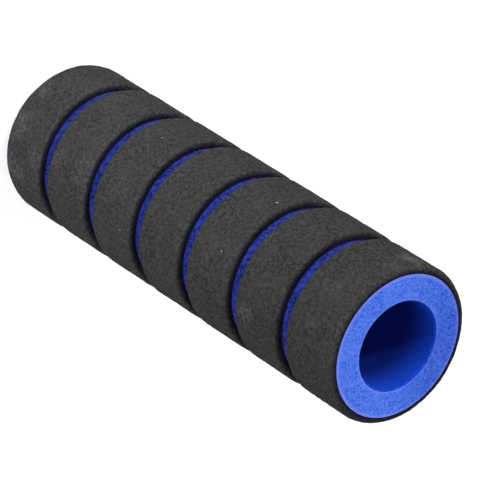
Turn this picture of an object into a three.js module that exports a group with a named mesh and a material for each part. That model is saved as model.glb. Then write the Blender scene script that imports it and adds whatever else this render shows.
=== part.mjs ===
// A bicycle handlebar grip of two-tone closed-cell foam, in millimetres.
// A blue foam sleeve with a through bore carries a thin black foam layer, which six
// ring grooves, ground just into the blue, divide into seven bands.
// The grip stands on its rear end at z = 0, +Z runs along the bore to the front end,
// and the origin is on the bore's axis.
import * as THREE from "three";

// The sleeve. The bore is a little under a 22.2 mm handlebar, so the foam grips by its stretch.
const boreDiameter = 21.8;
const sleeveWall = 6.7;
const boreMouthRounding = 0.5;

// The black layer, from the sleeve's outside to the grip's, and its bond line to the sleeve.
const blackLayer = 1.9;
const bondLine = 0.05;

// The bands and the grooves between them, along the axis.
const bandCount = 7;
const bandWidth = 14.8;
const endBandWidth = 16.3;
const grooveWidth = 3.9;
const grooveDepthInSleeve = 0.2;

// The roundings of the grip's outer edges, and of the bands where the grooves are cut.
// The rear end is buffed rounder than the front, through the black layer into the blue.
const frontEdgeRounding = 1.5;
const rearEdgeRounding = 5;
const shoulderRounding = 0.8;

// Facets round the axis, and in a quarter turn of a small and of a large rounding.
const facetsRound = 48;
const smallRoundingSteps = 3;
const largeRoundingSteps = 6;
const largeRounding = 3;

const boreRadius = boreDiameter / 2;
const sleeveRadius = boreRadius + sleeveWall;
const gripRadius = sleeveRadius + blackLayer;
const grooveFloorRadius = sleeveRadius - grooveDepthInSleeve;

// Where each band starts and ends along the axis, from the rear end to the front.
const bands = [];
let bandStart = 0;
for (let i = 0; i < bandCount; i += 1) {
  const isEnd = i === 0 || i === bandCount - 1;
  const bandEnd = bandStart + (isEnd ? endBandWidth : bandWidth);
  bands.push({ start: bandStart, end: bandEnd });
  bandStart = bandEnd + grooveWidth;
}
const gripLength = bands[bandCount - 1].end;

// The part of a cut end that lies between two radii, as points [radius, depth] from the
// inside out. The end is flat, and a rounding brings it over to the grip's outer surface.
function cutEnd(innerRadius, outerRadius, rounding) {
  const centre = gripRadius - rounding;
  const quarterSteps = rounding > largeRounding ? largeRoundingSteps : smallRoundingSteps;
  const angleAt = (radius) =>
    radius <= centre ? 0 : Math.asin(Math.min(1, (radius - centre) / rounding));
  const from = angleAt(innerRadius);
  const to = angleAt(outerRadius);
  const points = innerRadius < centre ? [[innerRadius, 0]] : [];
  if (outerRadius <= centre) {
    points.push([outerRadius, 0]);
    return points;
  }
  const steps = Math.max(1, Math.round((quarterSteps * (to - from)) / (Math.PI / 2)));
  for (let i = 0; i <= steps; i += 1) {
    const angle = from + ((to - from) * i) / steps;
    points.push([centre + rounding * Math.sin(angle), rounding * (1 - Math.cos(angle))]);
  }
  return points;
}

// The rounded mouth of the bore, as points [radius, depth] from the bore's wall out to the end.
function boreMouth() {
  const points = [];
  for (let i = 0; i < smallRoundingSteps; i += 1) {
    const angle = ((Math.PI / 2) * i) / smallRoundingSteps;
    points.push([
      boreRadius + boreMouthRounding * (1 - Math.cos(angle)),
      boreMouthRounding * (1 - Math.sin(angle)),
    ]);
  }
  return points;
}

const rearward = ([radius, depth], end) => new THREE.Vector2(radius, end + depth);
const forward = ([radius, depth], end) => new THREE.Vector2(radius, end - depth);

// Turns a closed profile of points (radius, z) about the axis, and stands it up along +Z.
function turned(profile) {
  const geometry = new THREE.LatheGeometry([...profile, profile[0]], facetsRound);
  return geometry.rotateX(Math.PI / 2);
}

// The sleeve's profile: rear end, outside with its grooves, front end, and the bore closes it.
function sleeveProfile() {
  const outsideOfMouth = boreRadius + boreMouthRounding;
  const rearEnd = [...boreMouth(), ...cutEnd(outsideOfMouth, sleeveRadius, rearEdgeRounding)];
  const frontEnd = [...boreMouth(), ...cutEnd(outsideOfMouth, sleeveRadius, frontEdgeRounding)];
  const profile = rearEnd.map((point) => rearward(point, 0));
  for (let i = 0; i < bandCount - 1; i += 1) {
    const grooveStart = bands[i].end;
    const grooveEnd = bands[i + 1].start;
    profile.push(
      new THREE.Vector2(sleeveRadius, grooveStart),
      new THREE.Vector2(grooveFloorRadius, grooveStart),
      new THREE.Vector2(grooveFloorRadius, grooveEnd),
      new THREE.Vector2(sleeveRadius, grooveEnd),
    );
  }
  profile.push(...frontEnd.reverse().map((point) => forward(point, gripLength)));
  return profile;
}

// A band's profile: its rear cut end, then its front one back in to the sleeve.
function bandProfile(band, rearRounding, frontRounding) {
  const innerRadius = sleeveRadius + bondLine;
  const rearEnd = cutEnd(innerRadius, gripRadius, rearRounding);
  const frontEnd = cutEnd(innerRadius, gripRadius, frontRounding);
  return [
    ...rearEnd.map((point) => rearward(point, band.start)),
    ...frontEnd.reverse().map((point) => forward(point, band.end)),
  ];
}

const blueFoam = new THREE.MeshStandardMaterial({
  color: 0x4a7cf0,
  roughness: 0.85,
  metalness: 0,
});
const blackFoam = new THREE.MeshStandardMaterial({
  color: 0x3c3c3e,
  roughness: 0.95,
  metalness: 0,
});

const group = new THREE.Group();

const innerSleeve = new THREE.Mesh(turned(sleeveProfile()), blueFoam);
innerSleeve.name = "inner_sleeve";
group.add(innerSleeve);

bands.forEach((band, i) => {
  const rearRounding = i === 0 ? rearEdgeRounding : shoulderRounding;
  const frontRounding = i === bandCount - 1 ? frontEdgeRounding : shoulderRounding;
  const mesh = new THREE.Mesh(
    turned(bandProfile(band, rearRounding, frontRounding)),
    blackFoam.clone(),
  );
  mesh.name = `outer_band_${i + 1}`;
  group.add(mesh);
});

export default group;
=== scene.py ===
# %% [markdown]
# # A two-tone foam handlebar grip
# The grip is a tube of soft closed-cell foam in two colours: a blue sleeve with the bore for
# the handlebar, and a thin black layer on it. Six ring grooves are ground through the black,
# just into the blue, and leave seven black bands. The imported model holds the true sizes, so
# it is loaded first, and every piece that is modelled here goes where its node is.

# %% Load the frame
import math
from collections import namedtuple

import bmesh
import bpy
from mathutils import Matrix, Vector


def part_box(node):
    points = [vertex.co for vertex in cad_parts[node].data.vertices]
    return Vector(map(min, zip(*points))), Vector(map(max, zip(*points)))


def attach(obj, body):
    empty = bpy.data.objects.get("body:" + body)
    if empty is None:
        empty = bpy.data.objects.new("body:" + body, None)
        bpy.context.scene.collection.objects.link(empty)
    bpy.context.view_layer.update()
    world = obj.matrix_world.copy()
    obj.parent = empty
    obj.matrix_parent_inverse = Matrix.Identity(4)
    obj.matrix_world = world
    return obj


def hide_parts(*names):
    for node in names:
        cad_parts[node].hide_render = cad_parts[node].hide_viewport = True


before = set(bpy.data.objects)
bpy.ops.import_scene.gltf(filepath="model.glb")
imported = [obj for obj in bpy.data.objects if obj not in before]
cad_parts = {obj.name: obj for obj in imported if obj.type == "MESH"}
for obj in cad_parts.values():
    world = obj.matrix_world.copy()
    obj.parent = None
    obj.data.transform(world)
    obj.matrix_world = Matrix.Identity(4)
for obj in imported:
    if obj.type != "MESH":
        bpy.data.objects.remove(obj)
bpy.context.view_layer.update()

# %% [markdown]
# # Sizes
# Most sizes are read from the nodes' boxes: the length and the blue's radius from the sleeve,
# the outside and the ends of each band from the bands. Only what a box can't tell is written
# here: the bore, the depth of the grooves, the bond line and the roundings of the edges.

# %% Sizes
MM = 0.001
BAND_COUNT = 7
BORE_RADIUS = 10.9 * MM
GROOVE_DEPTH_IN_SLEEVE = 0.2 * MM
BOND_LINE = 0.05 * MM
FRONT_EDGE_ROUNDING = 1.5 * MM
REAR_EDGE_ROUNDING = 5.0 * MM
SHOULDER_ROUNDING = 0.8 * MM
BORE_MOUTH_ROUNDING = 0.5 * MM


def band_node(number):
    return f"outer_band_{number}"


def band_span(number):
    """Where a band starts and ends along the axis. The rear band's own box starts where its
    rounding meets the blue, so its start is the rear end itself."""
    low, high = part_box(band_node(number))
    return (0.0 if number == 1 else low.z), high.z


GRIP_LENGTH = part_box("inner_sleeve")[1].z
GRIP_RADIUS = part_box(band_node(1))[1].x
SLEEVE_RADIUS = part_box("inner_sleeve")[1].x
BANDS = {number: band_span(number) for number in range(1, BAND_COUNT + 1)}
GROOVES = [(BANDS[n][1], BANDS[n + 1][0]) for n in range(1, BAND_COUNT)]
GROOVE_WIDTH = GROOVES[0][1] - GROOVES[0][0]
GROOVE_PITCH = GROOVES[1][0] - GROOVES[0][0]
print("outside radius", round(GRIP_RADIUS / MM, 2), "sleeve radius", round(SLEEVE_RADIUS / MM, 2))
print("groove width", round(GROOVE_WIDTH / MM, 2), "mm,", len(GROOVES), "grooves")

# %% [markdown]
# # The camera
# The photo shows the grip lying on its side, seen from in front and above. Here it stands on
# its rear end, so the same view is taken by a camera that looks down on the front end and is
# rolled until the front end points to the lower right. It could be aimed by an empty and a
# constraint, but a long lens shows every degree of error, so it is placed by numbers: how
# far it looks down, how far it is rolled, its distance, and where in the picture the centre
# of the front end lies.

# %% Camera
PICTURE_PX = 500
FRONT_CENTRE_PX = Vector((398.05, 346.33))
VIEW_DISTANCE = 881.4 * MM
LOOKS_DOWN = math.radians(43.98)
ROLL = math.radians(122.53)
SENSOR = 36.0
LENS = 283.6
NEAREST_SEEN = 0.05
FARTHEST_SEEN = 20.0


def add_camera():
    data = bpy.data.cameras.new("camera")
    data.sensor_width = SENSOR
    data.lens = LENS
    data.clip_start = NEAREST_SEEN
    data.clip_end = FARTHEST_SEEN
    camera = bpy.data.objects.new("camera", data)
    bpy.context.scene.collection.objects.link(camera)
    bpy.context.scene.camera = camera
    turn = Matrix.Rotation(math.pi / 2 - LOOKS_DOWN, 3, "X") @ Matrix.Rotation(ROLL, 3, "Z")
    aside = (FRONT_CENTRE_PX - Vector((PICTURE_PX, PICTURE_PX)) / 2) * SENSOR / LENS / PICTURE_PX
    to_front_centre = turn @ Vector((aside.x, -aside.y, -1.0)) * VIEW_DISTANCE
    place = Vector((0, 0, GRIP_LENGTH)) - to_front_centre
    camera.matrix_world = Matrix.Translation(place) @ turn.to_4x4()
    return camera


camera = add_camera()
print("camera at", tuple(round(v, 3) for v in camera.matrix_world.translation))

# %% [markdown]
# # The world
# A plain studio with a white backdrop all round. The world could light the grip as brightly as
# it is seen, but that would leave no room for lamps and wash out the shading, so two strengths
# are mixed: white for the rays that show the backdrop, and a lower one for those that light.

# %% World
WHITE = (1, 1, 1, 1)
SEEN_LIGHT = 1.0
WORLD_LIGHT = 0.62


def seen_directly(nodes, links):
    """1 for the rays that show the backdrop as it is: to the camera, and by metal or glass."""
    rays = nodes.new("ShaderNodeLightPath")
    seen = rays.outputs["Is Camera Ray"]
    for kind in ("Is Glossy Ray", "Is Transmission Ray"):
        either = nodes.new("ShaderNodeMath")
        either.operation = "MAXIMUM"
        links.new(seen, either.inputs[0])
        links.new(rays.outputs[kind], either.inputs[1])
        seen = either.outputs["Value"]
    return seen


def add_background(nodes, strength):
    background = nodes.new("ShaderNodeBackground")
    background.inputs["Color"].default_value = WHITE
    background.inputs["Strength"].default_value = strength
    return background.outputs["Background"]


def add_world():
    world = bpy.data.worlds.new("studio")
    bpy.context.scene.world = world
    world.use_nodes = True
    nodes, links = world.node_tree.nodes, world.node_tree.links
    nodes.clear()
    output = nodes.new("ShaderNodeOutputWorld")
    mix = nodes.new("ShaderNodeMixShader")
    links.new(seen_directly(nodes, links), mix.inputs["Fac"])
    links.new(add_background(nodes, WORLD_LIGHT), mix.inputs[1])
    links.new(add_background(nodes, SEEN_LIGHT), mix.inputs[2])
    links.new(mix.outputs["Shader"], output.inputs["Surface"])
    return world


print("world:", add_world().name)

# %% [markdown]
# # The lamps
# Three soft round lamps. They are placed by the picture's own directions (right, up and
# towards the camera), because that is how the light is read off a photograph. A large one
# above the front end and a smaller one nearer to the camera light the top and the front end,
# and a small one stands close by on the low side, so that its light falls off along the grip.

# %% Lamps
GRIP_MIDDLE = Vector((0, 0, GRIP_LENGTH / 2))


def from_picture(right, up, towards):
    """A direction in the row frame, given by the picture's right, up and towards the camera."""
    return (camera.matrix_world.to_3x3() @ Vector((right, up, towards))).normalized()


def add_softbox(name, direction, distance, size, power):
    data = bpy.data.lights.new(name, "AREA")
    data.shape = "DISK"
    data.size = size
    data.energy = power
    lamp = bpy.data.objects.new(name, data)
    bpy.context.scene.collection.objects.link(lamp)
    lamp.location = GRIP_MIDDLE + direction * distance
    lamp.rotation_mode = "QUATERNION"
    lamp.rotation_quaternion = (-direction).to_track_quat("-Z", "Y")
    return lamp


softboxes = [
    add_softbox(
        "front_top_softbox", from_picture(0.5, 0.62, 0.6), distance=1.1, size=0.6, power=3.3
    ),
    add_softbox(
        "camera_softbox", from_picture(0.39, 0.48, 0.785), distance=1.1, size=0.12, power=2.8
    ),
    add_softbox(
        "low_side_softbox", from_picture(-0.77, 0.09, 0.635), distance=0.4, size=0.06, power=0.5
    ),
]
print("softboxes at", [tuple(round(v, 2) for v in lamp.location) for lamp in softboxes])

# %% [markdown]
# # The floor
# A pale floor under the rear end. It is seen as white wherever no shadow falls, by a little
# emission that only the camera, metal and glass see, so no extra light reaches the grip and
# the floor still takes its shadow. From below it is clear, so that the rear end can be seen.

# %% Floor
FLOOR_SIZE = 8.0
FLOOR_COLOUR = (0.45, 0.45, 0.45, 1)
FLOOR_GLOW = 0.79


def add_glow(nodes, strength):
    glow = nodes.new("ShaderNodeEmission")
    glow.inputs["Strength"].default_value = strength
    return glow.outputs["Emission"]


def make_floor_material():
    material = bpy.data.materials.new("white_floor")
    material.use_nodes = True
    nodes, links = material.node_tree.nodes, material.node_tree.links
    nodes.clear()
    output = nodes.new("ShaderNodeOutputMaterial")
    paint = nodes.new("ShaderNodeBsdfDiffuse")
    paint.inputs["Color"].default_value = FLOOR_COLOUR
    shown_glow = nodes.new("ShaderNodeMixShader")
    links.new(seen_directly(nodes, links), shown_glow.inputs["Fac"])
    links.new(add_glow(nodes, 0.0), shown_glow.inputs[1])
    links.new(add_glow(nodes, FLOOR_GLOW), shown_glow.inputs[2])
    both = nodes.new("ShaderNodeAddShader")
    links.new(paint.outputs["BSDF"], both.inputs[0])
    links.new(shown_glow.outputs["Shader"], both.inputs[1])
    clear = nodes.new("ShaderNodeBsdfTransparent")
    below = nodes.new("ShaderNodeNewGeometry")
    one_sided = nodes.new("ShaderNodeMixShader")
    links.new(below.outputs["Backfacing"], one_sided.inputs["Fac"])
    links.new(both.outputs["Shader"], one_sided.inputs[1])
    links.new(clear.outputs["BSDF"], one_sided.inputs[2])
    links.new(one_sided.outputs["Shader"], output.inputs["Surface"])
    return material


def add_floor():
    bpy.ops.mesh.primitive_plane_add(size=FLOOR_SIZE, location=(0, 0, 0))
    floor = bpy.context.object
    floor.name = "floor"
    floor.data.materials.append(make_floor_material())
    return floor


print("floor:", add_floor().name, FLOOR_SIZE, "m wide")

# %% [markdown]
# # The foam's wall, as a saw cut shows it
# The real grip is one two-coloured tube: its ends are cut and buffed round, and the grooves
# are ground in afterwards. It could be modelled from cylinders, but then each edge would have
# to be rounded on a ring. It is easier to draw the wall's section once, round its corners,
# split it into blue and black, and turn it round the axis, which is what Spin does.

# %% Helpers for edit mode
TOUCH = 0.001 * MM


def deselect_all():
    for other in bpy.context.selected_objects:
        other.select_set(False)


def activate(piece):
    deselect_all()
    piece.select_set(True)
    bpy.context.view_layer.objects.active = piece


def select_where(piece, kind, test):
    """In edit mode, selects only the vertices, edges or faces whose place passes the test."""
    bpy.ops.mesh.select_mode(type=kind)
    bpy.ops.mesh.select_all(action="DESELECT")
    mesh = bmesh.from_edit_mesh(piece.data)
    parts = {"VERT": mesh.verts, "EDGE": mesh.edges, "FACE": mesh.faces}[kind]
    chosen = [part for part in parts if test(part)]
    for part in chosen:
        part.select_set(True)
    mesh.select_flush_mode()
    bmesh.update_edit_mesh(piece.data)
    return len(chosen)


def copy_piece(piece, name, lift=0.0):
    """A copy with its own mesh, moved along the axis inside its mesh."""
    copy = bpy.data.objects.new(name, piece.data.copy())
    bpy.context.scene.collection.objects.link(copy)
    copy.data.transform(Matrix.Translation((0, 0, lift)))
    return copy


# %% Draw the section of the whole wall
REAR_EDGE_SEGMENTS = 16
FRONT_EDGE_SEGMENTS = 8
SHOULDER_SEGMENTS = 6
BORE_MOUTH_SEGMENTS = 5


def round_corner(piece, radius, height, rounding, segments):
    select_where(
        piece, "VERT", lambda v: (v.co - Vector((radius, 0, height))).length < TOUCH
    )
    bpy.ops.mesh.bevel(offset=rounding, segments=segments, affect="VERTICES", profile=0.5)


def draw_wall_section():
    """A rectangle from the bore to the outside in the XZ plane, with its four corners rounded."""
    deselect_all()
    middle = ((BORE_RADIUS + GRIP_RADIUS) / 2, 0, GRIP_LENGTH / 2)
    bpy.ops.mesh.primitive_plane_add(size=1, location=middle, rotation=(math.pi / 2, 0, 0))
    section = bpy.context.object
    section.name = "wall_section"
    section.scale = (GRIP_RADIUS - BORE_RADIUS, GRIP_LENGTH, 1)
    bpy.ops.object.transform_apply(location=True, rotation=True, scale=True)
    bpy.ops.object.mode_set(mode="EDIT")
    round_corner(section, GRIP_RADIUS, 0, REAR_EDGE_ROUNDING, REAR_EDGE_SEGMENTS)
    round_corner(section, GRIP_RADIUS, GRIP_LENGTH, FRONT_EDGE_ROUNDING, FRONT_EDGE_SEGMENTS)
    for height in (0, GRIP_LENGTH):
        round_corner(section, BORE_RADIUS, height, BORE_MOUTH_ROUNDING, BORE_MOUTH_SEGMENTS)
    bpy.ops.object.mode_set(mode="OBJECT")
    return section


wall_section = draw_wall_section()
print("wall section:", len(wall_section.data.vertices), "points")

# %% [markdown]
# # Cutting and turning a section
# Bisect cuts the flat section as a blade would, and clears what lies beyond the cut. After
# that only the section's outline is kept, its long edges are divided evenly, so that the foam
# has enough points to be uneven later, and Spin turns the outline once round the axis. The
# sleeve is divided more coarsely than the bands, because most of its outside is hidden.

# %% Cut and turn
RING_STEPS = 288
BAND_SPACING = 0.42 * MM
SLEEVE_SPACING = 2.2 * BAND_SPACING


def cut_away(piece, place, towards):
    """Cuts the section at a plane, and clears what lies on the side that towards points to."""
    bpy.ops.mesh.select_all(action="SELECT")
    bpy.ops.mesh.bisect(plane_co=place, plane_no=towards, clear_outer=True, threshold=TOUCH)


def divide_outline(piece, spacing):
    """Divides each edge of the outline into equal lengths of about the spacing."""
    mesh = bmesh.from_edit_mesh(piece.data)
    long_edges = [
        (edge.verts[0].co.copy(), edge.verts[1].co.copy())
        for edge in mesh.edges
        if edge.calc_length() > 1.5 * spacing
    ]
    for start, end in long_edges:
        middle = (start + end) / 2
        select_where(
            piece,
            "EDGE",
            lambda e: ((e.verts[0].co + e.verts[1].co) / 2 - middle).length < TOUCH,
        )
        cuts = round((end - start).length / spacing) - 1
        bpy.ops.mesh.subdivide(number_cuts=max(1, cuts))


def turn_section(piece, spacing):
    """Turns the section's outline into a closed ring of foam with its faces outwards."""
    bpy.ops.mesh.select_all(action="SELECT")
    bpy.ops.mesh.delete(type="ONLY_FACE")
    divide_outline(piece, spacing)
    bpy.ops.mesh.select_mode(type="VERT")
    bpy.ops.mesh.select_all(action="SELECT")
    bpy.ops.mesh.spin(
        steps=RING_STEPS, angle=2 * math.pi, center=(0, 0, 0), axis=(0, 0, 1), use_auto_merge=True
    )
    bpy.ops.mesh.select_all(action="SELECT")
    bpy.ops.mesh.remove_doubles(threshold=TOUCH)
    bpy.ops.mesh.normals_make_consistent(inside=False)


print("a ring has", RING_STEPS, "steps")

# %% [markdown]
# # The black bands
# Each band is a ring of the black layer between two cuts. Its shoulders are rounded where
# the grinding wheel has rubbed them. The five middle bands have one size, so one is modelled
# and copied, and the two end bands are cut from the same section with their own end.

# %% Model the bands
def model_band(number):
    low, high = BANDS[number]
    band = copy_piece(wall_section, f"black_band_{number}")
    activate(band)
    bpy.ops.object.mode_set(mode="EDIT")
    cut_away(band, (SLEEVE_RADIUS + BOND_LINE, 0, 0), (-1, 0, 0))
    if number > 1:
        cut_away(band, (0, 0, low), (0, 0, -1))
        round_corner(band, GRIP_RADIUS, low, SHOULDER_ROUNDING, SHOULDER_SEGMENTS)
    if number < BAND_COUNT:
        cut_away(band, (0, 0, high), (0, 0, 1))
        round_corner(band, GRIP_RADIUS, high, SHOULDER_ROUNDING, SHOULDER_SEGMENTS)
    turn_section(band, BAND_SPACING)
    bpy.ops.object.mode_set(mode="OBJECT")
    return band


bands = {number: model_band(number) for number in (1, 2, BAND_COUNT)}
for number in range(3, BAND_COUNT):
    lift = BANDS[number][0] - BANDS[2][0]
    bands[number] = copy_piece(bands[2], f"black_band_{number}", lift)
for number in sorted(bands):
    print(bands[number].name, len(bands[number].data.polygons), "faces")

# %% [markdown]
# # The blue sleeve
# The sleeve is the same section without its black part. Its grooves are made as the real
# ones are: the turned tube is divided at each groove's edges, and the ring of faces between
# them is extruded inwards by the depth of the grinding.

# %% Model the sleeve
JUST_INSIDE = 0.1 * MM


def from_axis(place):
    return math.hypot(place.x, place.y)


def is_groove_face(face):
    centre = face.calc_center_median()
    outside = from_axis(centre) > SLEEVE_RADIUS - JUST_INSIDE
    return outside and any(low < centre.z < high for low, high in GROOVES)


def model_sleeve():
    sleeve = copy_piece(wall_section, "blue_sleeve")
    activate(sleeve)
    bpy.ops.object.mode_set(mode="EDIT")
    cut_away(sleeve, (SLEEVE_RADIUS, 0, 0), (1, 0, 0))
    for groove in GROOVES:
        for edge in groove:
            bpy.ops.mesh.select_all(action="SELECT")
            bpy.ops.mesh.bisect(plane_co=(0, 0, edge), plane_no=(0, 0, 1), threshold=TOUCH)
    select_where(sleeve, "EDGE", lambda e: len(e.link_faces) == 2)
    bpy.ops.mesh.dissolve_edges(use_verts=False)
    turn_section(sleeve, SLEEVE_SPACING)
    found = select_where(sleeve, "FACE", is_groove_face)
    bpy.ops.mesh.extrude_region_shrink_fatten(
        TRANSFORM_OT_shrink_fatten={"value": -GROOVE_DEPTH_IN_SLEEVE}
    )
    bpy.ops.object.mode_set(mode="OBJECT")
    print("groove faces:", found)
    return sleeve


sleeve = model_sleeve()
bpy.data.objects.remove(wall_section)
print(sleeve.name, len(sleeve.data.polygons), "faces")

# %% [markdown]
# # Uneven foam
# Buffed foam is never true: its surface swells and sinks by a tenth of a millimetre or two,
# and the ground edges wander. That is real shape, so it is given to the mesh by Displace
# modifiers with a cloud texture, one for slow swells and one for crumbs. A vertex group
# keeps it off the bonded faces and the end that the grip stands on.

# %% Make the surfaces uneven
SWELL_SIZE = 9.0 * MM
CRUMB_SIZE = 1.1 * MM
BAND_SWELL_HEIGHT = 0.18 * MM
BAND_CRUMB_HEIGHT = 0.16 * MM
SLEEVE_SWELL_HEIGHT = 0.08 * MM
SLEEVE_CRUMB_HEIGHT = 0.1 * MM
BONDED_EDGE = 4 * BOND_LINE
SHARP_ANGLE = math.radians(50)


def mark_free_surface(piece, test):
    """A vertex group of the points that the foam is free to be uneven at."""
    group = piece.vertex_groups.new(name="free_surface")
    group.add([v.index for v in piece.data.vertices if test(v.co)], 1.0, "REPLACE")
    return group.name


def displace(piece, group, size, height):
    texture = bpy.data.textures.new(piece.name + "_clouds", "CLOUDS")
    texture.noise_scale = size
    texture.noise_depth = 1
    modifier = piece.modifiers.new("uneven", "DISPLACE")
    modifier.texture = texture
    modifier.texture_coords = "LOCAL"
    modifier.strength = height
    modifier.mid_level = 0.5
    modifier.vertex_group = group
    activate(piece)
    bpy.ops.object.modifier_apply(modifier=modifier.name)


def is_free_on_band(place):
    return from_axis(place) > SLEEVE_RADIUS + BONDED_EDGE


def is_free_on_sleeve(place):
    bonded = from_axis(place) > SLEEVE_RADIUS - JUST_INSIDE
    return place.z > BORE_MOUTH_ROUNDING and not bonded


def make_uneven(piece, test, swell, crumb):
    group = mark_free_surface(piece, test)
    displace(piece, group, SWELL_SIZE, swell)
    displace(piece, group, CRUMB_SIZE, crumb)


for number in sorted(bands):
    make_uneven(bands[number], is_free_on_band, BAND_SWELL_HEIGHT, BAND_CRUMB_HEIGHT)
make_uneven(sleeve, is_free_on_sleeve, SLEEVE_SWELL_HEIGHT, SLEEVE_CRUMB_HEIGHT)
for piece in (sleeve, *bands.values()):
    activate(piece)
    bpy.ops.object.shade_smooth_by_angle(angle=SHARP_ANGLE)
print("uneven by up to", round(BAND_SWELL_HEIGHT / MM, 2), "mm")

# %% [markdown]
# # Foam as node groups
# Both foams have the same build: cells of a few tenths of a millimetre, slow blotches, scuffs
# from handling and specks of dust. Each effect is one node group with its own sizes as
# inputs, used in every foam material with that material's values. The groups only put out
# masks and heights; the colours and the shader stay in the materials.

# %% Helpers for nodes
def add_node(tree, kind, settings=None, inputs=None):
    """Adds a node, sets its settings, and links or fills its inputs by name or number."""
    node = tree.nodes.new(kind)
    for name, value in (settings or {}).items():
        setattr(node, name, value)
    for key, value in (inputs or {}).items():
        if isinstance(value, bpy.types.NodeSocket):
            tree.links.new(value, node.inputs[key])
        else:
            node.inputs[key].default_value = value
    return node


def maths(tree, operation, *values):
    node = add_node(tree, "ShaderNodeMath", {"operation": operation}, dict(enumerate(values)))
    return node.outputs["Value"]


def map_range(tree, value, low, high, to_low=0.0, to_high=1.0):
    """A smooth step from to_low at low to to_high at high."""
    settings = {"interpolation_type": "SMOOTHSTEP"}
    limits = {"From Min": low, "From Max": high, "To Min": to_low, "To Max": to_high}
    node = add_node(tree, "ShaderNodeMapRange", settings, {"Value": value, **limits})
    return node.outputs["Result"]


def new_group(name, inputs, outputs):
    """A shader node group with named sockets; returns its tree and the two end nodes."""
    tree = bpy.data.node_groups.new(name, "ShaderNodeTree")
    kinds = {"vector": "NodeSocketVector", "float": "NodeSocketFloat"}
    for socket, kind in inputs.items():
        tree.interface.new_socket(name=socket, in_out="INPUT", socket_type=kinds[kind])
    for socket in outputs:
        tree.interface.new_socket(name=socket, in_out="OUTPUT", socket_type=kinds["float"])
    return tree, add_node(tree, "NodeGroupInput"), add_node(tree, "NodeGroupOutput")


def noise(tree, position, scale, detail, roughness=0.55):
    inputs = {"Vector": position, "Scale": scale, "Detail": detail, "Roughness": roughness}
    return add_node(tree, "ShaderNodeTexNoise", None, inputs).outputs["Fac"]


def cell_pattern(tree, position, density):
    """A Voronoi pattern: the distance from each cell's middle, and a random colour per cell."""
    voronoi = add_node(
        tree, "ShaderNodeTexVoronoi", {"feature": "F1"}, {"Vector": position, "Scale": density}
    )
    chance = add_node(tree, "ShaderNodeSeparateColor", None, {"Color": voronoi.outputs["Color"]})
    return voronoi.outputs["Distance"], chance.outputs


# %% [markdown]
# # The foam's cells
# Closed cells show as fine grain, and where the cut has opened one it shows as a dark pore.
# One Voronoi pattern gives both, and a noise of the same size breaks up its regular look.

# %% Group: the foam's cells
CELL_WALL = (0.15, 0.7)
OPEN_CHANCE = (0.45, 0.9)
HOLLOW = (0.2, 0.5)
GRAIN_LEVELS = (0.34, 0.66)
LUMP_DENSITY = 0.33
CELL_HEIGHT = 0.35
GRAIN_HEIGHT = 0.4
LUMP_HEIGHT = 0.6


def make_cells_group():
    tree, given, out = new_group(
        "foam_cells",
        {"Position": "vector", "Cell Size": "float"},
        ["Cells", "Grain", "Pores", "Height"],
    )
    position = given.outputs["Position"]
    density = maths(tree, "DIVIDE", 1.0, given.outputs["Cell Size"])
    distance, chance = cell_pattern(tree, position, density)
    cells = map_range(tree, distance, *CELL_WALL)
    open_cells = map_range(tree, chance["Green"], *OPEN_CHANCE)
    hollow = map_range(tree, distance, *HOLLOW, to_low=1.0, to_high=0.0)
    pores = maths(tree, "MULTIPLY", open_cells, hollow)
    grain_noise = noise(tree, position, density, detail=3.0, roughness=0.75)
    grain = map_range(tree, grain_noise, *GRAIN_LEVELS)
    lump_density = maths(tree, "MULTIPLY", density, LUMP_DENSITY)
    lumps = noise(tree, position, lump_density, detail=2.0)
    grain_height = maths(tree, "MULTIPLY", grain, GRAIN_HEIGHT)
    fine = maths(tree, "MULTIPLY_ADD", cells, CELL_HEIGHT, grain_height)
    height = maths(tree, "MULTIPLY_ADD", lumps, LUMP_HEIGHT, fine)
    tree.links.new(cells, out.inputs["Cells"])
    tree.links.new(grain, out.inputs["Grain"])
    tree.links.new(pores, out.inputs["Pores"])
    tree.links.new(height, out.inputs["Height"])
    return tree


cells_group = make_cells_group()
print("group:", cells_group.name)

# %% [markdown]
# # Blotches and scuffs
# Foam is unevenly dense, which shows as slow blotches, and handling leaves pale flecks in
# patches. Both are noise: a slow one for the blotches, and a slow times a fine one for flecks.

# %% Group: blotches and scuffs
SCUFF_PATCH_DENSITY = 0.8
FLECK_DENSITY = 9.0
BLOTCH_LEVELS = (0.3, 0.7)
PATCH_LEVELS = (0.6, 0.78)
FLECK_LEVELS = (0.5, 0.75)


def make_wear_group():
    tree, given, out = new_group(
        "foam_wear", {"Position": "vector", "Patch Size": "float"}, ["Blotches", "Scuffs"]
    )
    position = given.outputs["Position"]
    density = maths(tree, "DIVIDE", 1.0, given.outputs["Patch Size"])
    blotch_noise = noise(tree, position, density, detail=2.0)
    blotches = map_range(tree, blotch_noise, *BLOTCH_LEVELS)
    patch_density = maths(tree, "MULTIPLY", density, SCUFF_PATCH_DENSITY)
    patch_noise = noise(tree, position, patch_density, detail=1.0)
    patches = map_range(tree, patch_noise, *PATCH_LEVELS)
    fleck_density = maths(tree, "MULTIPLY", density, FLECK_DENSITY)
    fleck_noise = noise(tree, position, fleck_density, detail=3.0, roughness=0.7)
    flecks = map_range(tree, fleck_noise, *FLECK_LEVELS)
    tree.links.new(blotches, out.inputs["Blotches"])
    tree.links.new(maths(tree, "MULTIPLY", patches, flecks), out.inputs["Scuffs"])
    return tree


wear_group = make_wear_group()
print("group:", wear_group.name)

# %% [markdown]
# # Specks of dust
# Black foam holds dust and lint. Modelled specks would be tiny loose pieces, so they are
# spots of a Voronoi pattern, of which only a share is kept.

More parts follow.
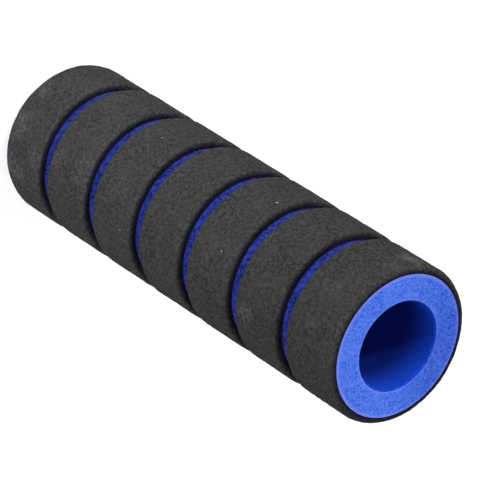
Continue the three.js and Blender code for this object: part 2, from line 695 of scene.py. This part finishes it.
# %% Group: specks of dust
def make_dust_group():
    tree, given, out = new_group(
        "dust_specks",
        {"Position": "vector", "Spacing": "float", "Speck Size": "float", "Share": "float"},
        ["Specks"],
    )
    position = given.outputs["Position"]
    density = maths(tree, "DIVIDE", 1.0, given.outputs["Spacing"])
    distance, chance = cell_pattern(tree, position, density)
    reach = maths(tree, "MULTIPLY", given.outputs["Speck Size"], density)
    near = maths(tree, "LESS_THAN", distance, reach)
    chosen = maths(tree, "LESS_THAN", chance["Red"], given.outputs["Share"])
    tree.links.new(maths(tree, "MULTIPLY", near, chosen), out.inputs["Specks"])
    return tree


dust_group = make_dust_group()
print("group:", dust_group.name)

# %% [markdown]
# # Masks by place
# Two masks tell a material where on the grip it is: one by the distance from the bore's axis,
# which is how deep a groove has been ground, and one round a single place, for one mark.

# %% Group: how far from the bore's axis
def make_radius_group():
    """A ramp by the distance from the bore's axis, from 0 at one radius to 1 at another."""
    tree, given, out = new_group(
        "radius_ramp", {"Position": "vector", "From": "float", "To": "float"}, ["Ramp"]
    )
    flat = add_node(
        tree,
        "ShaderNodeVectorMath",
        {"operation": "MULTIPLY"},
        {0: given.outputs["Position"], 1: (1.0, 1.0, 0.0)},
    )
    length = add_node(
        tree, "ShaderNodeVectorMath", {"operation": "LENGTH"}, {0: flat.outputs["Vector"]}
    )
    ramp = add_node(
        tree,
        "ShaderNodeMapRange",
        None,
        {
            "Value": length.outputs["Value"],
            "From Min": given.outputs["From"],
            "From Max": given.outputs["To"],
        },
    )
    tree.links.new(ramp.outputs["Result"], out.inputs["Ramp"])
    return tree


radius_group = make_radius_group()
print("group:", radius_group.name)

# %% Group: one mark at a place
MARK_UNEVENNESS = 1.4
MARK_EDGE = (0.1, 1.0)


def make_mark_group():
    """A soft ragged mark: 1 at its centre, 0 at about its reach."""
    tree, given, out = new_group(
        "mark_at_place",
        {"Position": "vector", "Centre": "vector", "Reach": "float", "Raggedness": "float"},
        ["Mark"],
    )
    apart = add_node(
        tree,
        "ShaderNodeVectorMath",
        {"operation": "DISTANCE"},
        {0: given.outputs["Position"], 1: given.outputs["Centre"]},
    )
    share = maths(tree, "DIVIDE", apart.outputs["Value"], given.outputs["Reach"])
    ragged = noise(tree, given.outputs["Position"], given.outputs["Raggedness"], detail=2.0)
    uneven = maths(tree, "MULTIPLY_ADD", ragged, MARK_UNEVENNESS, -MARK_UNEVENNESS / 2)
    uneven_share = maths(tree, "ADD", share, uneven)
    mark = map_range(tree, uneven_share, *MARK_EDGE, to_low=1.0, to_high=0.0)
    tree.links.new(mark, out.inputs["Mark"])
    return tree


mark_group = make_mark_group()
print("group:", mark_group.name)

# %% [markdown]
# # What every foam shares
# All foams have one recipe: a Principled shader, rough and hardly shiny, whose colour and bump
# come from the groups. It is started and finished by two functions, and each material adds
# its own colours in between.

# %% Helpers for foam materials
FOAM_SHINE = 0.02
CELL_ROUGHNESS = 0.06

Foam = namedtuple("Foam", "material tree shader position cells wear")


def use_group(tree, group, inputs):
    return add_node(tree, "ShaderNodeGroup", {"node_tree": group}, inputs).outputs


def radius_ramp(tree, position, start, end):
    inputs = {"Position": position, "From": start, "To": end}
    return use_group(tree, radius_group, inputs)["Ramp"]


def height_on_axis(tree, position):
    return add_node(tree, "ShaderNodeSeparateXYZ", None, {"Vector": position}).outputs["Z"]


def blend(tree, mask, first, second):
    """Mixes two colours by a mask."""
    settings = {"data_type": "RGBA", "clamp_factor": True}
    mix = add_node(tree, "ShaderNodeMix", settings, {0: mask, 6: first, 7: second})
    return mix.outputs[2]


def rgb(red, green, blue):
    return (red, green, blue, 1.0)


def start_foam(name, cell_size, patch_size):
    """A material with its shader and the shared foam groups placed in it."""
    material = bpy.data.materials.new(name)
    material.use_nodes = True
    tree = material.node_tree
    shader = tree.nodes["Principled BSDF"]
    shader.inputs["Specular IOR Level"].default_value = FOAM_SHINE
    position = add_node(tree, "ShaderNodeTexCoord").outputs["Object"]
    cells = use_group(tree, cells_group, {"Position": position, "Cell Size": cell_size})
    wear = use_group(tree, wear_group, {"Position": position, "Patch Size": patch_size})
    return Foam(material, tree, shader, position, cells, wear)


def finish_foam(foam, colour, roughness, bump_height):
    tree, shader = foam.tree, foam.shader
    tree.links.new(colour, shader.inputs["Base Color"])
    low = roughness - CELL_ROUGHNESS
    rough = map_range(tree, foam.cells["Cells"], 0.0, 1.0, low, roughness)
    tree.links.new(rough, shader.inputs["Roughness"])
    bump = add_node(
        tree,
        "ShaderNodeBump",
        None,
        {"Strength": 1.0, "Distance": bump_height, "Height": foam.cells["Height"]},
    )
    tree.links.new(bump.outputs["Normal"], shader.inputs["Normal"])


# %% [markdown]
# # Marks that one grip has
# A few scuffs and three bright specks catch the eye on the grip in the photo. Noise can't put
# them where they are, so each is listed by its azimuth in degrees from the side that the photo
# shows, its distance from the front end and its reach in millimetres, and its strength. They
# are fixed to the grip, so they stay there in every view.

# %% Marks
SHOWN_SIDE = math.radians(-90)
RAGGED_SHARE = 0.5
SCUFFS = [
    (-68, 4, 4.5, 2.0),
    (-48, 4, 3.5, 0.45),
    (-9, 8, 3.0, 0.45),
    (19, 9, 3.0, 0.3),
    (38, 31, 3.5, 1.0),
    (9, 46, 6.0, 0.2),
    (10, 85, 6.0, 0.2),
    (52, 88, 4.0, 0.3),
    (16, 98, 5.0, 0.45),
    (18, 107, 4.0, 0.35),
    (-48, 107, 4.0, 0.3),
    (28, 116, 4.0, 0.4),
    (11, 126, 6.0, 1.0),
    (-20, 126, 5.0, 0.8),
    (44, 125, 7.0, 0.85),
]
SPECKS = [(-41.0, 41.6, 0.35, 1.0), (9.9, 43.9, 0.3, 1.0), (38.4, 79.5, 0.25, 1.0)]


def place_on_grip(azimuth, from_front):
    """A point on the outside, by its azimuth in degrees and its distance in millimetres."""
    turn = SHOWN_SIDE + math.radians(azimuth)
    return (
        GRIP_RADIUS * math.cos(turn),
        GRIP_RADIUS * math.sin(turn),
        GRIP_LENGTH - from_front * MM,
    )


def mark_at(tree, position, centre, reach):
    inputs = {
        "Position": position,
        "Centre": centre,
        "Reach": reach * MM,
        "Raggedness": 1 / (RAGGED_SHARE * reach * MM),
    }
    return use_group(tree, mark_group, inputs)["Mark"]


def marks_on_grip(tree, position, places):
    """All of a list's marks in one mask."""
    total = 0.0
    for azimuth, from_front, reach, strength in places:
        mark = mark_at(tree, position, place_on_grip(azimuth, from_front), reach)
        total = maths(tree, "MAXIMUM", maths(tree, "MULTIPLY", mark, strength), total)
    return total


print(len(SCUFFS), "scuffs and", len(SPECKS), "specks")

# %% [markdown]
# The black layer is palest on its buffed outside. Deeper in a groove it is painted darker, as
# painted shade, with a little blue in it. Towards the rear end it is painted a little paler than
# at the front, as painted light. The rear end's rounding is kept out of the groove's painted
# shade, so it stays pale.

# %% Black foam
# Painted shade in the grooves: none down to half a millimetre below the outside, full at the
# groove's floor.
GROOVE_SHADE_DEPTH = 2.1 * MM
UNSHADED_DEPTH = 0.5 * MM
GROOVE_SHADE_CURVE = 1.4
UNSHADED_REAR_END = (0.6 * REAR_EDGE_ROUNDING, 1.4 * REAR_EDGE_ROUNDING)
# Painted light: the black is painted paler towards the rear end and darker towards the front.
REAR_PALER = 1.15
FRONT_DARKER = 0.91
BLACK_CELL_SIZE = 0.75 * MM
BLACK_PATCH_SIZE = 8 * MM
BLACK_ROUGHNESS = 0.95
BLACK_BUMP_HEIGHT = 0.2 * MM
DUST = {"Spacing": 6 * MM, "Speck Size": 0.14 * MM, "Share": 0.12}
BLACK_TONES = {
    "grain_dark": rgb(0.028, 0.028, 0.028),
    "grain_pale": rgb(0.076, 0.076, 0.075),
    "pit": rgb(0.016, 0.016, 0.016),
    "blotch": rgb(0.071, 0.071, 0.070),
    "scuff": rgb(0.17, 0.17, 0.168),
    "dust": rgb(0.5, 0.5, 0.5),
    # The painted shade deep in the grooves, with a little blue in it.
    "cut": rgb(0.003, 0.004, 0.026),
}
BLACK_SHARES = {"pits": 0.45, "blotches": 0.3, "loose_scuffs": 0.3}
FLECK_GAIN = 0.45
FLECK_BASE = 0.05


def black_surface(foam):
    """The colour of the buffed outside: grain, pits, blotches, scuffs and dust."""
    tree, position, cells, wear = foam.tree, foam.position, foam.cells, foam.wear
    tones, shares = BLACK_TONES, BLACK_SHARES
    grain = blend(tree, cells["Grain"], tones["grain_dark"], tones["grain_pale"])
    pits = maths(tree, "MULTIPLY", cells["Pores"], shares["pits"])
    pitted = blend(tree, pits, grain, tones["pit"])
    blotches = maths(tree, "MULTIPLY", wear["Blotches"], shares["blotches"])
    patchy = blend(tree, blotches, pitted, tones["blotch"])
    flecks = maths(tree, "MULTIPLY_ADD", cells["Grain"], FLECK_GAIN, FLECK_BASE)
    scuffs = maths(tree, "MULTIPLY", marks_on_grip(tree, position, SCUFFS), flecks)
    loose_scuffs = maths(tree, "MULTIPLY", wear["Scuffs"], shares["loose_scuffs"])
    scuffed = blend(tree, maths(tree, "MAXIMUM", scuffs, loose_scuffs), patchy, tones["scuff"])
    dust = use_group(tree, dust_group, {"Position": position, **DUST})["Specks"]
    specks = maths(tree, "MAXIMUM", marks_on_grip(tree, position, SPECKS), dust)
    return blend(tree, specks, scuffed, tones["dust"])


def make_black_foam():
    foam = start_foam("black_foam", BLACK_CELL_SIZE, BLACK_PATCH_SIZE)
    tree, position = foam.tree, foam.position
    along = height_on_axis(tree, position)
    # Painted shade: darker the deeper in a groove, except on the rear end's rounding.
    outside = radius_ramp(tree, position, GRIP_RADIUS - GROOVE_SHADE_DEPTH, GRIP_RADIUS - UNSHADED_DEPTH)
    shallow = maths(tree, "POWER", outside, GROOVE_SHADE_CURVE)
    rear_end = map_range(tree, along, *UNSHADED_REAR_END, to_low=1.0, to_high=0.0)
    unshaded = maths(tree, "MAXIMUM", shallow, rear_end)
    cut = blend(tree, unshaded, BLACK_TONES["cut"], black_surface(foam))
    # Painted light: paler towards the rear end, darker towards the front.
    paler = map_range(tree, along, 0.0, GRIP_LENGTH, REAR_PALER, FRONT_DARKER)
    scaled = {0: cut, "Scale": paler}
    colour = add_node(tree, "ShaderNodeVectorMath", {"operation": "SCALE"}, scaled)
    finish_foam(foam, colour.outputs["Vector"], BLACK_ROUGHNESS, BLACK_BUMP_HEIGHT)
    return foam.material


black_foam = make_black_foam()
print("material:", black_foam.name)

# %% [markdown]
# # Blue foam
# The blue has three finishes: the bright cut ends, the denser skin of the bore, and the dark
# floors of the grooves, soiled and with painted shade at the foot of each wall. They are one
# foam, so one function mixes its two blues, its pores and its crumbs of black, and each finish
# gives its own values and adds what it alone has.

# %% Blue foam
BLUE_PATCH_SIZE = 5 * MM
BLUE_ROUGHNESS = 0.9
BLOTCH_SHARE = 0.3
PORE_LOSS = -0.7
CRUMB_COLOUR = rgb(0.02, 0.02, 0.03)
BLUE_FINISHES = {
    "blue_cut_face": {
        "cell_size": 0.6 * MM,
        "deep": rgb(0.04, 0.12, 0.82),
        "bright": rgb(0.13, 0.28, 1.0),
        "pore": rgb(0.02, 0.07, 0.55),
        "crumbs": 0.0,
        "bump_height": 0.12 * MM,
    },
    "blue_bore_skin": {
        "cell_size": 0.45 * MM,
        "deep": rgb(0.005, 0.050, 0.55),
        "bright": rgb(0.014, 0.085, 0.70),
        "pore": rgb(0.005, 0.05, 0.50),
        "crumbs": 0.0,
        "bump_height": 0.03 * MM,
    },
    "blue_groove": {
        "cell_size": 0.8 * MM,
        "deep": rgb(0.002, 0.005, 0.07),
        "bright": rgb(0.034, 0.059, 0.42),
        "pore": rgb(0.002, 0.004, 0.05),
        "crumbs": 0.9,
        "bump_height": 0.12 * MM,
    },
}


def start_blue_foam(name):
    """A blue foam between two blues, with darker pores and a share of black crumbs on it."""
    finish = BLUE_FINISHES[name]
    foam = start_foam(name, finish["cell_size"], BLUE_PATCH_SIZE)
    tree, cells, blotches = foam.tree, foam.cells, foam.wear["Blotches"]
    grain = blend(tree, cells["Grain"], finish["deep"], finish["bright"])
    patchy = blend(tree, maths(tree, "MULTIPLY", blotches, BLOTCH_SHARE), grain, finish["bright"])
    porous = maths(tree, "MULTIPLY_ADD", blotches, PORE_LOSS, 1.0)
    pitted = blend(tree, maths(tree, "MULTIPLY", cells["Pores"], porous), patchy, finish["pore"])
    crumbs = maths(tree, "MULTIPLY", foam.wear["Scuffs"], finish["crumbs"])
    return foam, blend(tree, crumbs, pitted, CRUMB_COLOUR)


def finish_blue_foam(foam, colour):
    bump_height = BLUE_FINISHES[foam.material.name]["bump_height"]
    finish_foam(foam, colour, BLUE_ROUGHNESS, bump_height)
    return foam.material


print("blue finishes:", list(BLUE_FINISHES))

# %% [markdown]
# # The cut face
# The saw-cut end is bright, and its two edges are paler. One side of it is painted darker, as
# painted shade, and its pores darker still.

# %% Blue cut face
OUTER_RIM = (0.9 * MM, 0.4 * MM)
INNER_RIM = (0.9 * MM, 0.3 * MM)
RIM_SHARE = 0.6
RIM_COLOUR = rgb(0.26, 0.31, 1.0)
# Painted shade: one side of the cut face is painted darker, its pores darkest.
SHADED_SIDE_REACH = 24
SHADED_SIDE_PLACE = (-7.0 * MM, 14.0 * MM, GRIP_LENGTH)
SHADED_SIDE_COLOUR = rgb(0.01, 0.05, 0.45)
SHADED_SIDE_PORES = 0.6
SHADED_SIDE_BASE = 0.38


def make_blue_cut_face():
    foam, colour = start_blue_foam("blue_cut_face")
    tree, position = foam.tree, foam.position
    outer = radius_ramp(
        tree, position, SLEEVE_RADIUS - OUTER_RIM[0], SLEEVE_RADIUS - OUTER_RIM[1]
    )
    inner = radius_ramp(tree, position, BORE_RADIUS + INNER_RIM[0], BORE_RADIUS + INNER_RIM[1])
    rims = maths(tree, "MULTIPLY", maths(tree, "MAXIMUM", outer, inner), RIM_SHARE)
    with_rims = blend(tree, rims, colour, RIM_COLOUR)
    # Painted shade on one side of the face, darker still in its pores.
    shaded_side_cells = maths(tree, "MULTIPLY_ADD", foam.cells["Pores"], SHADED_SIDE_PORES, SHADED_SIDE_BASE)
    shaded_side = mark_at(tree, position, SHADED_SIDE_PLACE, SHADED_SIDE_REACH)
    painted_side_shade = maths(tree, "MULTIPLY", shaded_side, shaded_side_cells)
    return finish_blue_foam(foam, blend(tree, painted_side_shade, with_rims, SHADED_SIDE_COLOUR))


blue_cut_face = make_blue_cut_face()
print("material:", blue_cut_face.name)

# %% [markdown]
# # The bore's skin
# The bore's smooth skin is painted with shade: brightest at the mouths and darkest a centimetre
# inside. From there on it is painted a little paler again, for the light that comes through the
# real bore from its other end, which stands on the floor here. Light alone doesn't do that,
# because the world and the lamps are soft and shine far into the bore.

# %% Blue bore skin
DARKEST_DEPTH = 11 * MM
PALER_FROM_DEPTH = 9 * MM
PALER_TO_DEPTH = 21 * MM
PALER_SHARE = 0.4
# The painted shade inside the bore.
BORE_PAINTED_SHADE = rgb(0.006, 0.020, 0.20)


def make_blue_bore_skin():
    foam, colour = start_blue_foam("blue_bore_skin")
    tree = foam.tree
    along = height_on_axis(tree, foam.position)
    half = GRIP_LENGTH / 2
    from_middle = maths(tree, "ABSOLUTE", maths(tree, "SUBTRACT", along, half))
    # Painted shade inside the bore, and painted light deeper in.
    inside = map_range(tree, from_middle, half - DARKEST_DEPTH, half, 1.0, 0.0)
    dark_share = map_range(
        tree, from_middle, half - PALER_TO_DEPTH, half - PALER_FROM_DEPTH, PALER_SHARE, 1.0
    )
    painted_shade = maths(tree, "MULTIPLY", inside, dark_share)
    return finish_blue_foam(foam, blend(tree, painted_shade, colour, BORE_PAINTED_SHADE))


blue_bore_skin = make_blue_bore_skin()
print("material:", blue_bore_skin.name)

# %% [markdown]
# A groove's floor is mottled, and darker along the foot of each wall: soiled with black crumbs
# there, and painted shade in the corner. The feet are found by the distance along the grip,
# wrapped at the pitch of the grooves, so one pair of ramps serves all six. Torn cells stand up as
# a fuzz, which is what sheen is for.

# %% Blue groove
FOOT_START = 0.1 * MM
FOOT_REACH = 0.6 * MM
# Black crumbs and painted shade at the foot of each groove wall.
FOOT_SOIL_AND_SHADE = 0.95
SOIL_AND_SHADE_COLOUR = rgb(0.005, 0.006, 0.026)
FUZZ_WEIGHT = 0.3
FUZZ_ROUGHNESS = 0.35
FUZZ_TINT = rgb(1.0, 0.85, 1.0)


def make_blue_groove():
    foam, colour = start_blue_foam("blue_groove")
    tree, shader = foam.tree, foam.shader
    from_first = maths(tree, "SUBTRACT", height_on_axis(tree, foam.position), GROOVES[0][0])
    from_rear_wall = maths(tree, "WRAP", from_first, GROOVE_PITCH, 0.0)
    rear_foot = map_range(tree, from_rear_wall, FOOT_START, FOOT_REACH, 1.0, 0.0)
    front_foot = map_range(
        tree, from_rear_wall, GROOVE_WIDTH - FOOT_REACH, GROOVE_WIDTH - FOOT_START
    )
    # Soil and painted shade along the foot of each wall.
    feet = maths(tree, "MULTIPLY", maths(tree, "MAXIMUM", rear_foot, front_foot), FOOT_SOIL_AND_SHADE)
    shader.inputs["Sheen Weight"].default_value = FUZZ_WEIGHT
    shader.inputs["Sheen Roughness"].default_value = FUZZ_ROUGHNESS
    shader.inputs["Sheen Tint"].default_value = FUZZ_TINT
    return finish_blue_foam(foam, blend(tree, feet, colour, SOIL_AND_SHADE_COLOUR))


blue_groove = make_blue_groove()
print("material:", blue_groove.name)

# %% [markdown]
# # Give each surface its finish
# The bands are black all over. The sleeve's faces get their finish by place: the bore inside,
# the groove's finish on the outside from the first groove to the last, also under the bands
# between them, so that no bright line shows at the foot of a wall, and the cut face elsewhere.

# %% Give each surface its finish
BORE_MARGIN = 0.3 * MM
OUTSIDE_MARGIN = 0.5 * MM
UNDER_BAND = 1.0 * MM


def is_bore(centre):
    return from_axis(centre) < BORE_RADIUS + BORE_MARGIN


def is_grooved_outside(centre):
    between_ends = GROOVES[0][0] - UNDER_BAND < centre.z < GROOVES[-1][1] + UNDER_BAND
    return from_axis(centre) > SLEEVE_RADIUS - OUTSIDE_MARGIN and between_ends


def add_finish(piece, material, test):
    """Adds a material to a piece, on the faces whose centre passes the test."""
    slot_number = len(piece.data.materials)
    piece.data.materials.append(material)
    chosen = [face for face in piece.data.polygons if test(face.center)]
    for face in chosen:
        face.material_index = slot_number
    print(material.name, "on", len(chosen), "faces")


sleeve.data.materials.append(blue_cut_face)
add_finish(sleeve, blue_bore_skin, is_bore)
add_finish(sleeve, blue_groove, is_grooved_outside)
for band in bands.values():
    band.data.materials.append(black_foam)

# %% [markdown]
# # Fit the pieces to the frame
# Nothing on the grip moves, so every piece rides on the one body. Each modelled piece stands for
# the plain solid of its node, which is hidden.

# %% Fit to the frame
def fit_to_frame(piece, node):
    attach(piece, "root")
    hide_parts(node)


fit_to_frame(sleeve, "inner_sleeve")
for number, band in bands.items():
    fit_to_frame(band, band_node(number))

scene = bpy.context.scene
scene.view_settings.view_transform = "Standard"
